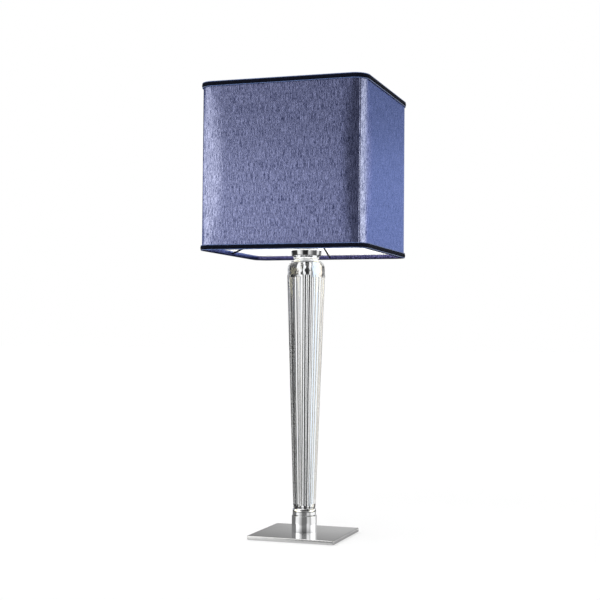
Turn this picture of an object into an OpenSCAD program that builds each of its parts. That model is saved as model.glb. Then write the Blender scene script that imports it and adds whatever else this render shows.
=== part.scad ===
// Table lamp: a square steel foot, a fluted clear glass column on a threaded tube,
// and a square fabric shade with rounded corners, carried by the rings of an E27 lampholder.
// Millimetres. Origin: centre of the foot, on the surface that the lamp stands on. +Z up, -Y front.

/* [Base plate] */
// Width and depth of the square plate
plate_w = 150; // [120:1:220]
// Thickness of the plate
plate_t = 6.5; // [6:0.5:12]
// Radius of the plate's upright corners, in plan
plate_corner_r = 3; // [1.5:0.5:10]
// Rounding of the plate's top and bottom edges
plate_edge_r = 1.2; // [0.4:0.1:1.4]
// Diameter of each felt foot
foot_d = 14; // [8:1:20]
// Thickness of each felt foot
foot_t = 1; // [0.6:0.1:3]
// Bare rim between a felt foot and the plate's edges
foot_inset = 6; // [3:0.5:20]

/* [Base collar and cable outlet] */
// Outside diameter of the collar
collar_d = 42; // [40:0.5:60]
// Height of the collar
collar_h = 28; // [26:0.5:60]
// Wall of the collar
collar_wall = 2.5; // [1.5:0.1:3.5]
// Thickness of the collar's closed top
collar_top_t = 3; // [2:0.5:5]
// Bore of the cable outlet bush
bush_bore_d = 6.4; // [5:0.1:8]
// Wall of the bush's barrel
bush_wall = 1; // [0.8:0.1:1.5]
// Width of the bush's rim around its barrel
bush_rim_w = 1.5; // [0.8:0.1:2.5]
// How far the bush's rim stands out of the collar
bush_proud = 2; // [1:0.1:4]
// Height of the cable outlet above the plate
outlet_h = 9.5; // [8:0.5:11]

/* [Centre tube and its fasteners] */
// Outside diameter of the threaded tube
tube_d = 10; // [10:0.5:12]
// Bore of the threaded tube
tube_bore_d = 8; // [6.5:0.1:8.4]
// Outside diameter of the plain sleeve inside the glass
sleeve_d = 12; // [11.6:0.1:14]
// Width across the flats of the tube's nuts
nut_af = 14; // [13:0.5:18]
// Thickness of each nut
nut_t = 3; // [2:0.1:3.2]
// Outside diameter of the foot's washer
washer_d = 20; // [17:0.5:24]
// Thickness of the foot's washer
washer_t = 1; // [0.6:0.1:1.2]
// Diameter of one insulated lead
lead_d = 2.4; // [1.6:0.1:2.8]

/* [Lower ring] */
// Height of the ring
ring_h = 12; // [9:0.5:20]
// Largest diameter of the ring
ring_d = 39.4; // [37.5:0.1:42]
// Depth of the groove under the ring
ring_groove = 0.9; // [0.3:0.1:1.5]
// Thickness of the ring's floor
ring_floor_t = 3; // [2:0.5:4]
// Thickness of the seat under the glass
lower_gasket_t = 1; // [0.5:0.1:2]

/* [Glass column] */
// Height of the glass, from its foot to its flat top
glass_h = 422; // [300:1:600]
// Diameter at the bottom of the flutes
glass_low_d = 37.4; // [36:0.2:50]
// Diameter of the plain band at the top
glass_high_d = 63.3; // [56:0.1:90]
// Diameter of the foot that stands in the lower ring
glass_spigot_d = 33; // [28:0.5:34]
// Height of the plain glass between the lower ring and the flutes
glass_low_band_h = 3; // [2:0.5:8]
// Height of the plain band above the flutes
glass_high_band_h = 9; // [4:0.5:20]
// Height of the rounded shoulder
shoulder_h = 13; // [8:0.5:20]
// How far the shoulder comes in towards the top
shoulder_w = 6.3; // [3:0.1:10]
// Number of flutes
flute_count = 16; // [12:1:24]
// Depth of a flute at its top
flute_high_depth = 1.6; // [0.8:0.1:2]
// Depth of a flute at its bottom
flute_low_depth = 1; // [0.5:0.1:1.2]
// Width of the land between two flutes
flute_land_w = 0.9; // [0.5:0.1:1.5]

/* [Top fittings] */
// Thickness of the seal on top of the glass
upper_gasket_t = 0.8; // [0.5:0.1:2]
// Thickness of the thin disc above it
disc_t = 1.4; // [1:0.1:3]
// Height of the plain neck
neck_h = 8.3; // [4:0.1:12]
// Diameter of the neck at its foot
neck_low_d = 36.5; // [28:0.5:40]
// Height of the polished cup
cup_h = 10.5; // [9:0.1:20]
// Diameter of the cup's foot
cup_low_d = 44; // [41:0.5:50]
// Diameter of the cup's mouth
cup_high_d = 52; // [50:0.5:64]
// Wall of the cup
cup_wall = 1.6; // [1:0.1:2.5]

/* [Lampholder] */
// Outside diameter of the lampholder's threaded body
holder_d = 39.6; // [38:0.1:40]
// Wall of the lampholder's body and cap
holder_wall = 2; // [1.5:0.1:2.5]
// Height of the lampholder's cap
holder_cap_h = 19; // [17:0.5:24]
// Height of the lampholder's body
holder_body_h = 43; // [38:0.5:50]
// Height of the insulating core
core_h = 17; // [14:0.5:20]
// Height of the shade ring nuts
shade_nut_h = 6; // [4:0.5:8]
// Outside diameter of the shade ring nuts
shade_nut_d = 56; // [48:0.5:60]
// Depth of the body below its top at which the lower ring nut ends
shade_nut_drop = 16.4; // [13:0.1:18]

/* [Bulb] */
// Diameter of the bulb's globe
bulb_d = 60; // [45:1:80]
// Length of the bulb, from its contact to its crown
bulb_l = 105; // [95:1:130]
// Diameter of the bulb's screw cap
bulb_cap_d = 26.1; // [26:0.05:26.4]

/* [Shade] */
// Width and depth over the fabric
shade_w = 280; // [200:1:400]
// Height over the trims
shade_h = 275; // [200:1:400]
// Radius of the upright corners, over the fabric
shade_corner_r = 22; // [15:1:40]
// Thickness of the fabric
fabric_t = 0.8; // [0.5:0.1:1.5]
// Thickness of the white lining
lining_t = 0.6; // [0.4:0.1:1]
// Height of each trim
trim_h = 8.7; // [6:0.1:14]
// How far a trim stands out of the fabric
trim_out = 2.6; // [1.5:0.1:4]
// Height of the hems inside the shade
hem_h = 7; // [5:0.5:20]
// Thickness of the hems
hem_t = 0.6; // [0.4:0.1:1]
// Diameter of the frame's wire
wire_d = 3; // [2.4:0.1:4]
// Diameter of the four arms
arm_d = 2.4; // [2:0.1:3]
// Outside diameter of the shade's centre ring
spider_d = 60; // [58:1:70]
// Thickness of the shade's centre ring
spider_t = 2; // [1:0.1:3]
// Height of the centre ring above the shade's lower edge
spider_h = 47.6; // [46:0.5:70]

/* [Hidden] */
$fn = 96;

// Clearances
tube_clear = 0.15;
seat_clear = 0.3;
turn_clear = 0.08;
glue_gap = 0.1;
cut = 1;
overlap = 0.001;

// Standard sizes of the E27 lampholder and bulb
thread_shell_d = 29;
thread_shell_wall = 1;
bulb_cap_h = 23;
bulb_base_h = 4;
bulb_tip_d = 9;
bulb_neck_d = 27;
bulb_wall = 0.8;
spider_hole_d = 42;
contact_w = 6;
contact_t = 0.5;
screw_d = 3;
screw_h = 5.5;
screw_sunk = 3;
tube_grip = 11;
core_drop = 2;
core_step_h = 3;
core_step_w = 1.2;
shell_drop = 2.5;

// Rounding of the glass just above the lower ring
glass_round_h = 2.2;
glass_round_w = 0.6;
spigot_lift = 0.2;

// Foot: room round the washer, and how far the nut and the tube end above the underside
recess_gap = 2;
nut_sunk = 0.3;
tube_sunk = 0.2;

// Terminal block and leads
block_w = 14;
block_d = 8;
block_h = 12;
block_gap = 2.5;
block_lift = 1;
terminal_pitch = 7;
block_y = -(tube_d / 2 + block_gap);
lead_x = lead_d / 2 + tube_clear;
lead_bend_r = lead_d + 0.2;
lead_slot_r = 1.2 * lead_d;

// Heights, from the surface up
plate_z = foot_t;
plate_top = plate_z + plate_t;
recess_d = washer_d + 2 * recess_gap;
recess_h = nut_t + washer_t + nut_sunk;
washer_z = plate_z + recess_h - washer_t;
base_nut_z = washer_z - nut_t;
collar_top = plate_top + collar_h;
outlet_z = plate_top + outlet_h;
glass_z = collar_top + ring_floor_t + lower_gasket_t;
ring_top = collar_top + ring_h;
glass_low_z = ring_top + glass_round_h;
flute_low_z = glass_low_z + glass_low_band_h;
glass_top = glass_z + glass_h;
shoulder_z = glass_top - shoulder_h;
flute_high_z = shoulder_z - glass_high_band_h;
disc_z = glass_top + upper_gasket_t;
neck_z = disc_z + disc_t;
cup_z = neck_z + neck_h;
cup_nut_z = cup_z + cup_wall;
holder_z = cup_nut_z + nut_t + seat_clear;
tube_z = base_nut_z + tube_sunk;
tube_top = holder_z + tube_grip;
body_z = holder_z + holder_cap_h;
body_top = body_z + holder_body_h;
core_z = body_z - core_drop;
core_top = core_z + core_h;
spider_z = body_top - shade_nut_drop + turn_clear;
lower_nut_z = body_top - shade_nut_drop - shade_nut_h;
upper_nut_z = spider_z + spider_t + turn_clear;
bulb_z = core_top + contact_t + seat_clear;
bulb_cap_z = bulb_z + bulb_base_h;
bulb_glass_z = bulb_cap_z + bulb_cap_h;
bulb_top = bulb_z + bulb_l;
shade_z = spider_z - spider_h;
shade_top = shade_z + shade_h;

// Radii
tube_hole_r = tube_d / 2 + tube_clear;
sleeve_r = sleeve_d / 2;
glass_bore_r = sleeve_r + 0.6;
collar_bore_r = collar_d / 2 - collar_wall;
spigot_seat_r = glass_spigot_d / 2 + seat_clear;
glass_top_r = glass_high_d / 2 - shoulder_w;
holder_r = holder_d / 2;
holder_bore_r = holder_r - holder_wall;
bush_r = bush_bore_d / 2 + bush_wall;
bush_rim_r = bush_r + bush_rim_w;

// Places across the shade's wall, inwards from the fabric's face
lining_in = fabric_t + glue_gap;
wire_in = lining_in + lining_t + glue_gap + wire_d / 2;
hem_leg_in = wire_in + wire_d / 2 + glue_gap;
wire_r = wire_d / 2;
fabric_edge = 0.4;
frame_low_z = shade_z + fabric_edge + hem_t + glue_gap + wire_r;
frame_high_z = shade_top - fabric_edge - hem_t - glue_gap - wire_r;
arm_start = shade_w / 2 - wire_in;
arm_end = spider_d / 2;
arm_rise = spider_z + spider_t / 2 - frame_low_z;
arm_run = arm_start - arm_end;
arm_tilt = atan2(arm_run, arm_rise);
arm_l = norm([arm_run, arm_rise]);

// Points on an arc, from angle a0 to a1 in n steps; rx and ry are its two radii
function arc(cx, cy, rx, ry, a0, a1, n = 6) =
    [for (i = [0:n]) let (a = a0 + (a1 - a0) * i / n) [cx + rx * cos(a), cy + ry * sin(a)]];

// A flat ring or disc
module ring(outer_r, inner_r, h) {
    difference() {
        cylinder(r = outer_r, h = h);
        translate([0, 0, -cut]) cylinder(r = inner_r, h = h + 2 * cut);
    }
}

// A hexagon nut on the centre tube
module hex_nut(z) {
    translate([0, 0, z]) difference() {
        cylinder(d = nut_af / cos(30), h = nut_t, $fn = 6);
        translate([0, 0, -cut]) cylinder(r = tube_hole_r, h = nut_t + 2 * cut, $fn = 96);
    }
}

// Sweeps a section round a square of width w with corners of radius r. The section's x runs
// outwards from the square's side, and its y runs up.
module swept_side(w, r) {
    translate([-(w / 2 - r), -w / 2, 0])
        rotate([90, 0, 90]) linear_extrude(w - 2 * r) mirror([1, 0]) children();
}
module swept_corner(r, start, turn) {
    rotate([0, 0, start]) rotate_extrude(angle = turn) translate([r, 0]) children();
}
module swept_loop(w, r) {
    for (k = [0:3]) rotate([0, 0, 90 * k]) {
        swept_side(w, r) children();
        translate([w / 2 - r, -(w / 2 - r), 0]) swept_corner(r, -90, 90) children();
    }
}

// Foot
module base_plate_section() {
    e = plate_edge_r;
    polygon(concat([[-plate_corner_r, 0]],
        arc(-e, e, e, e, -90, 0, 4),
        arc(-e, plate_t - e, e, e, 0, 90, 4),
        [[-plate_corner_r, plate_t]]));
}
module base_plate() {
    inner_w = plate_w - 2 * plate_corner_r;
    color("silver") difference() {
        translate([0, 0, plate_z]) union() {
            swept_loop(plate_w, plate_corner_r) base_plate_section();
            translate([-inner_w / 2, -inner_w / 2, 0]) cube([inner_w, inner_w, plate_t]);
        }
        cylinder(r = tube_hole_r, h = plate_top + cut);
        cylinder(d = recess_d, h = plate_z + recess_h);
    }
}
module base_feet() {
    at = plate_w / 2 - foot_inset - foot_d / 2;
    color("dimgray") for (x = [-at, at], y = [-at, at])
        translate([x, y, 0]) cylinder(d = foot_d, h = foot_t);
}
module base_washer() {
    color("gray") translate([0, 0, washer_z]) ring(washer_d / 2, tube_hole_r, washer_t);
}
module base_nut() {
    color("gray") hex_nut(base_nut_z);
}

// Collar, cable outlet and wiring
module base_collar() {
    color("silver") difference() {
        translate([0, 0, plate_top]) cylinder(d = collar_d, h = collar_h);
        translate([0, 0, plate_top - cut])
            cylinder(r = collar_bore_r, h = collar_h - collar_top_t + cut);
        translate([0, 0, plate_top]) cylinder(r = tube_hole_r, h = collar_h + cut);
        translate([0, 0, outlet_z]) rotate([-90, 0, 0])
            cylinder(r = bush_r + turn_clear, h = collar_d);
    }
}
module cable_bush() {
    reach_in = 2;
    inner_end = collar_bore_r - reach_in;
    outer_end = collar_d / 2 + bush_proud;
    color("black") difference() {
        union() {
            translate([0, inner_end, outlet_z]) rotate([-90, 0, 0])
                cylinder(r = bush_r, h = outer_end - inner_end);
            difference() {
                translate([0, collar_d / 2 - bush_rim_w, outlet_z]) rotate([-90, 0, 0])
                    cylinder(r = bush_rim_r, h = bush_proud + bush_rim_w);
                translate([0, 0, plate_top]) cylinder(d = collar_d + turn_clear, h = collar_h);
            }
        }
        translate([0, 0, outlet_z]) rotate([-90, 0, 0])
            cylinder(d = bush_bore_d, h = outer_end + cut);
    }
}
module terminal_block() {
    color("ivory") difference() {
        translate([-block_w / 2, block_y - block_d, outlet_z - block_h / 2 + block_lift])
            cube([block_w, block_d, block_h]);
        for (x = [-terminal_pitch / 2, terminal_pitch / 2])
            translate([x, block_y - block_d / 2, outlet_z + block_lift])
                cylinder(d = screw_d, h = block_h);
    }
}
module inner_leads() {
    color("white") for (x = [-lead_x, lead_x]) translate([x, 0, outlet_z]) {
        translate([0, block_y, 0]) rotate([-90, 0, 0])
            cylinder(d = lead_d, h = -block_y - lead_bend_r);
        translate([0, -lead_bend_r, lead_bend_r]) rotate([90, 0, 90])
            rotate([0, 0, -90]) rotate_extrude(angle = 90)
            translate([lead_bend_r, 0]) circle(d = lead_d);
        translate([0, 0, lead_bend_r]) cylinder(d = lead_d, h = core_z - outlet_z - lead_bend_r);
    }
}
module centre_tube() {
    color("gray") difference() {
        translate([0, 0, tube_z]) ring(tube_d / 2, tube_bore_d / 2, tube_top - tube_z);
        translate([0, 0, outlet_z]) rotate([90, 0, 0]) cylinder(r = lead_slot_r, h = tube_d);
    }
}
module tube_sleeve() {
    color("silver") translate([0, 0, collar_top + ring_floor_t])
        ring(sleeve_r, tube_hole_r, disc_z - collar_top - ring_floor_t);
}

// Ring and seals round the glass
module lower_ring() {
    groove_h = 1.1;
    lip_w = 1.4;
    round_h = 6;
    base_r = ring_d / 2;
    lip_r = spigot_seat_r + lip_w;
    color("silver") translate([0, 0, collar_top]) rotate_extrude()
        polygon(concat([[tube_hole_r, 0], [base_r - ring_groove, 0], [base_r - ring_groove, groove_h]],
            arc(lip_r, ring_h - round_h, base_r - lip_r, round_h, 0, 90, 6),
            [[spigot_seat_r, ring_h], [spigot_seat_r, ring_floor_t], [tube_hole_r, ring_floor_t]]));
}
module lower_gasket() {
    color("white") translate([0, 0, collar_top + ring_floor_t])
        ring(glass_spigot_d / 2, sleeve_r + seat_clear, lower_gasket_t);
}
module upper_gasket() {
    edge_gap = 1.5;
    color("white") translate([0, 0, glass_top])
        ring(glass_top_r - edge_gap, sleeve_r + seat_clear, upper_gasket_t);
}

// Glass column: turned outline, bored for the sleeve, with cut flutes
function flute_r(body_r, depth) =
    let (chord = 2 * PI * body_r / flute_count - flute_land_w)
    (chord * chord / 4 + depth * depth) / (2 * depth);
module glass_outline() {
    low_r = glass_low_d / 2;
    high_r = glass_high_d / 2;
    spigot_r = glass_spigot_d / 2;
    polygon(concat([[glass_bore_r, glass_z], [spigot_r, glass_z], [spigot_r, ring_top + spigot_lift]],
        [[low_r - glass_round_w, ring_top + 3 * spigot_lift], [low_r, glass_low_z], [low_r, flute_low_z],
            [high_r, flute_high_z]],
        arc(glass_top_r, shoulder_z, shoulder_w, shoulder_h, 0, 90, 8),
        [[glass_bore_r, glass_top]]));
}
module flute() {
    low_r = flute_r(glass_low_d / 2, flute_low_depth);
    high_r = flute_r(glass_high_d / 2, flute_high_depth);
    low_x = glass_low_d / 2 - flute_low_depth + low_r;
    high_x = glass_high_d / 2 - flute_high_depth + high_r;
    rise = flute_high_z - flute_low_z;
    tilt = atan2(high_x - low_x, rise);
    translate([low_x, 0, flute_low_z]) rotate([0, tilt, 0])
        cylinder(r1 = low_r, r2 = high_r, h = rise / cos(tilt), $fn = 48);
}
module glass_column() {
    color("aliceblue", 0.5) difference() {
        rotate_extrude() glass_outline();
        for (k = [0:flute_count - 1]) rotate([0, 0, (k + 0.5) * 360 / flute_count]) flute();
    }
}

// Disc, neck and cup on top of the glass
module rim_disc() {
    reach_out = 0.2;
    color("silver") translate([0, 0, disc_z])
        ring(glass_top_r + reach_out, tube_hole_r, disc_t);
}
module neck() {
    cup_step = 0.4;
    foot_h = 1;
    neck_low_r = neck_low_d / 2;
    neck_high_r = cup_low_d / 2 - cup_step;
    color("silver") translate([0, 0, neck_z]) rotate_extrude()
        polygon(concat([[tube_hole_r, 0], [neck_low_r, 0]],
            arc(neck_low_r, neck_h, neck_high_r - neck_low_r, neck_h - foot_h, -90, 0, 6),
            [[tube_hole_r, neck_h]]));
}
module socket_cup() {
    foot_h = 2.6;
    foot_share = 0.75;
    lip_r = 1.2;
    lip_step = 0.4;
    low_r = cup_low_d / 2;
    high_r = cup_high_d / 2;
    lip_z = cup_h - 2 * lip_r;
    color("silver") translate([0, 0, cup_z]) rotate_extrude()
        polygon(concat([[tube_hole_r, 0]],
            arc(low_r, foot_h, foot_share * (high_r - low_r), foot_h, -90, 0, 6),
            [[high_r, lip_z]],
            arc(high_r - lip_r, cup_h - lip_r, lip_r, lip_r, 0, 90, 4),
            [[high_r - cup_wall, cup_h], [high_r - cup_wall - lip_step, lip_z],
                [low_r - cup_wall, cup_wall], [tube_hole_r, cup_wall]]));
}
module cup_nut() {
    color("gray") hex_nut(cup_nut_z);
}

// Lampholder
module holder_cap() {
    round_h = 8;
    entry_h = tube_top - holder_z;
    color("white") difference() {
        translate([0, 0, holder_z]) rotate_extrude()
            polygon(concat([[tube_hole_r, 0], [holder_r - round_h, 0]],
                arc(holder_r - round_h, round_h, round_h, round_h, -90, 0, 6),
                [[holder_r, holder_cap_h], [holder_bore_r, holder_cap_h],
                    [holder_bore_r, entry_h], [tube_hole_r, entry_h]]));
        holder_cap_screw_hole(screw_d / 2 + turn_clear);
    }
}
module holder_cap_screw_hole(r) {
    translate([0, 0, holder_z + screw_h]) rotate([90, 0, 0])
        translate([0, 0, tube_hole_r]) cylinder(r = r, h = holder_r);
}
module holder_cap_screw() {
    color("gray") translate([0, 0, holder_z + screw_h]) rotate([90, 0, 0])
        translate([0, 0, tube_hole_r]) cylinder(d = screw_d, h = holder_r - tube_hole_r - screw_sunk);
}
module holder_body() {
    color("white") translate([0, 0, body_z]) ring(holder_r, holder_bore_r, holder_body_h);
}
module holder_core() {
    color("ivory") translate([0, 0, core_z]) difference() {
        cylinder(r = holder_bore_r - tube_clear, h = core_h);
        translate([0, 0, core_h - core_step_h])
            ring(holder_r, thread_shell_d / 2 + core_step_w, core_step_h + cut);
    }
}
module thread_shell() {
    color("goldenrod") translate([0, 0, core_top])
        ring(thread_shell_d / 2, thread_shell_d / 2 - thread_shell_wall,
            body_top - shell_drop - core_top);
}
module centre_contact() {
    color("goldenrod") translate([-contact_w / 2, -contact_w, core_top])
        cube([contact_w, 2 * contact_w, contact_t]);
}
module shade_nut(z) {
    notch_r = 2.5;
    notch_out = 1;
    color("white") translate([0, 0, z]) difference() {
        ring(shade_nut_d / 2, holder_r + turn_clear, shade_nut_h);
        for (k = [0:11]) rotate([0, 0, 30 * k])
            translate([shade_nut_d / 2 + notch_out, 0, -cut])
            cylinder(r = notch_r, h = shade_nut_h + 2 * cut);
    }
}
module lower_shade_nut() { shade_nut(lower_nut_z); }
module upper_shade_nut() { shade_nut(upper_nut_z); }

// Bulb
module bulb_base() {
    tip_r = bulb_tip_d / 2;
    tip_edge = 1;
    plug_r = bulb_cap_d / 2 - bulb_wall - glue_gap;
    plug_edge = 0.8;
    plug_top = bulb_base_h + 1;
    color("black") translate([0, 0, bulb_z]) rotate_extrude()
        polygon([[0, 0], [tip_r - tip_edge, 0], [tip_r, tip_edge],
            [plug_r, bulb_base_h - plug_edge], [plug_r, plug_top], [0, plug_top]]);
}
module bulb_cap() {
    color("silver") translate([0, 0, bulb_cap_z])
        ring(bulb_cap_d / 2, bulb_cap_d / 2 - bulb_wall, bulb_cap_h);
}
module bulb_outline(inset) {
    globe_r = bulb_d / 2;
    globe_z = bulb_top - globe_r;
    globe_start = -20.5;
    neck_r = bulb_neck_d / 2;
    side_z = globe_z + globe_r * sin(globe_start);
    side_r = globe_r * cos(globe_start);
    points = concat([[neck_r - inset, bulb_glass_z]],
        [for (i = [1:5]) let (t = i / 6, s = t * t * (3 - 2 * t))
            [neck_r + (side_r - neck_r) * s - inset, bulb_glass_z + (side_z - bulb_glass_z) * t]],
        arc(0, globe_z, globe_r - inset, globe_r - inset, globe_start, 90, 12));
    polygon(concat(points, [[0, bulb_glass_z]]));
}
module bulb_glass() {
    color("white") rotate_extrude() difference() {
        bulb_outline(0);
        translate([0, -overlap]) bulb_outline(bulb_wall);
    }
}

// Shade frame
module spider_ring() {
    color("dimgray") translate([0, 0, spider_z])
        ring(spider_d / 2, spider_hole_d / 2, spider_t);
}
module arm(k, extra, d) {
    rotate([0, 0, 90 * k]) translate([arm_start, 0, frame_low_z])
        rotate([0, -arm_tilt, 0]) cylinder(d = d, h = arm_l + extra);
}
module wire_loop(z) {
    translate([0, 0, z]) swept_loop(shade_w, shade_corner_r)
        translate([-wire_in, 0]) circle(r = wire_r);
}
module spider_arms() {
    into_ring = 2;
    color("dimgray") difference() {
        for (k = [0:3]) arm(k, into_ring, arm_d);
        translate([0, 0, spider_z - 2 * spider_t]) cylinder(d = spider_d, h = 5 * spider_t);
        wire_loop(frame_low_z);
    }
}
module frame_bottom() {
    color("dimgray") wire_loop(frame_low_z);
}
module frame_top() {
    color("dimgray") wire_loop(frame_high_z);
}

// Shade lining, fabric, hems and trims
module lining() {
    low = shade_z + fabric_edge + hem_t + glue_gap;
    high = shade_top - fabric_edge - hem_t - glue_gap;
    color("white") swept_loop(shade_w, shade_corner_r)
        translate([-lining_in - lining_t, low]) square([lining_t, high - low]);
}
module fabric_panel(k) {
    centre = shade_w / 2 - shade_corner_r;
    color("slateblue") rotate([0, 0, 90 * k]) {
        swept_side(shade_w, shade_corner_r) fabric_section();
        translate([centre, -centre, 0]) swept_corner(shade_corner_r, -90, 45)
            fabric_section();
        translate([-centre, -centre, 0]) swept_corner(shade_corner_r, -135, 45)
            fabric_section();
    }
}
module fabric_section() {
    translate([-fabric_t, shade_z + fabric_edge])
        square([fabric_t, shade_h - 2 * fabric_edge]);
}
module fabric_front() { fabric_panel(0); }
module fabric_right() { fabric_panel(1); }
module fabric_back() { fabric_panel(2); }
module fabric_left() { fabric_panel(3); }
module hem_section() {
    polygon([[-lining_in, 0], [-lining_in, hem_t], [-hem_leg_in, hem_t], [-hem_leg_in, hem_h],
        [-hem_leg_in - hem_t, hem_h], [-hem_leg_in - hem_t, 0]]);
}
module hem_bottom() {
    color("slateblue") difference() {
        translate([0, 0, shade_z + fabric_edge]) swept_loop(shade_w, shade_corner_r) hem_section();
        for (k = [0:3]) arm(k, 0, arm_d + 2 * seat_clear);
    }
}
module hem_top() {
    color("slateblue") translate([0, 0, shade_top - fabric_edge]) mirror([0, 0, 1])
        swept_loop(shade_w, shade_corner_r) hem_section();
}
module trim_section() {
    polygon(arc(glue_gap, trim_h / 2, trim_out - glue_gap, trim_h / 2, -90, 90, 10));
}
module trim_bottom() {
    color("midnightblue") translate([0, 0, shade_z])
        swept_loop(shade_w, shade_corner_r) trim_section();
}
module trim_top() {
    color("midnightblue") translate([0, 0, shade_top - trim_h])
        swept_loop(shade_w, shade_corner_r) trim_section();
}

base_plate();
base_feet();
base_washer();
base_nut();
base_collar();
cable_bush();
terminal_block();
inner_leads();
centre_tube();
tube_sleeve();
lower_ring();
lower_gasket();
glass_column();
upper_gasket();
rim_disc();
neck();
socket_cup();
cup_nut();
holder_cap();
holder_cap_screw();
holder_body();
holder_core();
thread_shell();
centre_contact();
lower_shade_nut();
upper_shade_nut();
bulb_base();
bulb_cap();
bulb_glass();
spider_ring();
spider_arms();
frame_bottom();
frame_top();
lining();
fabric_front();
fabric_right();
fabric_back();
fabric_left();
hem_bottom();
hem_top();
trim_bottom();
trim_top();
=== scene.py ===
# A table lamp: a polished steel foot, a fluted crystal column on a tube, and a square satin shade.
# Metres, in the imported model's frame: the lamp stands on z = 0 and its front looks along -Y.
import math

import bmesh
import bpy
from mathutils import Matrix, Vector


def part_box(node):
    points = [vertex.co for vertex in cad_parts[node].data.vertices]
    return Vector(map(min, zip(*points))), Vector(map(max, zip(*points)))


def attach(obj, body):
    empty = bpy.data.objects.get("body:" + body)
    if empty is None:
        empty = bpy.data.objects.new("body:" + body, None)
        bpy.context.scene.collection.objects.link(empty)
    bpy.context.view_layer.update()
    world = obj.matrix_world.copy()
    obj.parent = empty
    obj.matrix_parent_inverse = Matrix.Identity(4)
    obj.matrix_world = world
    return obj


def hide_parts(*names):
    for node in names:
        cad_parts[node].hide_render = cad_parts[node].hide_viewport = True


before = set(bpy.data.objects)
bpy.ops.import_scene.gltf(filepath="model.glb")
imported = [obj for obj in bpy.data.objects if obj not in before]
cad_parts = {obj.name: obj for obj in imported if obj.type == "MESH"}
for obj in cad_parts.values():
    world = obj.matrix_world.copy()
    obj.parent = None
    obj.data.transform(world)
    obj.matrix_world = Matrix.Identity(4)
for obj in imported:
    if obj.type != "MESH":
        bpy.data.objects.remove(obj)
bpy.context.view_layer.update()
mm = 0.001
scene = bpy.context.scene
scene.view_settings.view_transform = "Standard"

# Camera
# It stands a little to the right of the lamp's front and below the shade, as in the photograph.
# Its place, tilt and lens were fitted to the edges of the shade, the glass and the plate.
camera_side = math.radians(18.24)
camera_turn = math.radians(0.2826)
camera_pitch = math.radians(1.706)
camera_roll = math.radians(0.474)
camera_distance = 2.0759
camera_height = 0.33606


def hold(name, data):
    """An object of the scene that holds a mesh, a camera or a lamp."""
    held = bpy.data.objects.new(name, data)
    scene.collection.objects.link(held)
    return held


camera = hold("camera", bpy.data.cameras.new("camera"))
camera.data.sensor_width = 36
camera.data.lens = 73.518
camera.matrix_world = (
    Matrix.Translation(
        (math.sin(camera_side) * camera_distance, -math.cos(camera_side) * camera_distance, camera_height))
    @ Matrix.Rotation(camera_side + camera_turn, 4, "Z")
    @ Matrix.Rotation(math.pi / 2 + camera_pitch, 4, "X")
    @ Matrix.Rotation(camera_roll, 4, "Z"))
scene.camera = camera


# Felt feet
# Four grey felt discs, punched from sheet and glued under the corners of the plate,
# so that the steel doesn't scratch the table.
def new_finish(name, colour, roughness, **sockets):
    """A material with one Principled shader, and its node tree and shader."""
    material = bpy.data.materials.new(name)
    material.use_nodes = True
    shader = material.node_tree.nodes["Principled BSDF"]
    shader.inputs["Base Color"].default_value = (*colour, 1)
    shader.inputs["Roughness"].default_value = roughness
    for socket, value in sockets.items():
        shader.inputs[socket.replace("_", " ").title().replace("Ior", "IOR")].default_value = value
    return material, material.node_tree, shader


def new_effect(name, inputs, outputs):
    """A shader node group, its inputs and its outputs; an input without a number is a vector."""
    group = bpy.data.node_groups.new(name, "ShaderNodeTree")
    for label, value in inputs.items():
        socket = group.interface.new_socket(
            name=label, in_out="INPUT", socket_type="NodeSocketVector" if value is None else "NodeSocketFloat")
        if value is not None:
            socket.default_value = value
    for label, kind in outputs.items():
        group.interface.new_socket(name=label, in_out="OUTPUT", socket_type="NodeSocket" + kind)
    return group, group.nodes.new("NodeGroupInput").outputs, group.nodes.new("NodeGroupOutput").inputs


def feed(socket, value):
    """Gives a socket another node's output, or its own number or colour."""
    if isinstance(value, bpy.types.NodeSocket):
        socket.id_data.links.new(value, socket)
    elif socket.type == "RGBA":
        socket.default_value = (*value, 1) if isinstance(value, tuple) else (value, value, value, 1)
    else:
        socket.default_value = value


def use_effect(tree, group, **values):
    """Places a node group in a tree with its own values, and gives its outputs."""
    node = tree.nodes.new("ShaderNodeGroup")
    node.node_tree = group
    for label, value in values.items():
        feed(node.inputs[label.capitalize()], value)
    return node.outputs


def coordinates(tree, kind="Object"):
    """The place on a piece that a pattern goes by."""
    return tree.nodes.new("ShaderNodeTexCoord").outputs[kind]


def surface(shader, height=None, strength=0, distance=0, **looks):
    """Gives a finish its looks that change from place to place, and its fine relief."""
    for label, look in looks.items():
        feed(shader.inputs[label.replace("_", " ").title()], look)
    if height:
        bump = shader.id_data.nodes.new("ShaderNodeBump")
        for label, value in (("Strength", strength), ("Distance", distance), ("Height", height)):
            feed(bump.inputs[label], value)
        feed(shader.inputs["Normal"], bump.outputs["Normal"])


def noise_in(vector, scale, detail=2.0, roughness=0.5):
    """A noise texture on the given coordinates."""
    noise = vector.id_data.nodes.new("ShaderNodeTexNoise")
    for label, value in (("Vector", vector), ("Scale", scale), ("Detail", detail), ("Roughness", roughness)):
        feed(noise.inputs[label], value)
    return noise.outputs["Fac"]


def spread(value, low, high, from_low=0.3, from_high=0.7):
    """Maps a middle range, such as a noise's, on to the range from low to high."""
    node = value.id_data.nodes.new("ShaderNodeMapRange")
    for label, end in (
            ("Value", value), ("From Min", from_low), ("From Max", from_high), ("To Min", low), ("To Max", high)):
        feed(node.inputs[label], end)
    return node.outputs["Result"]


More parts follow.
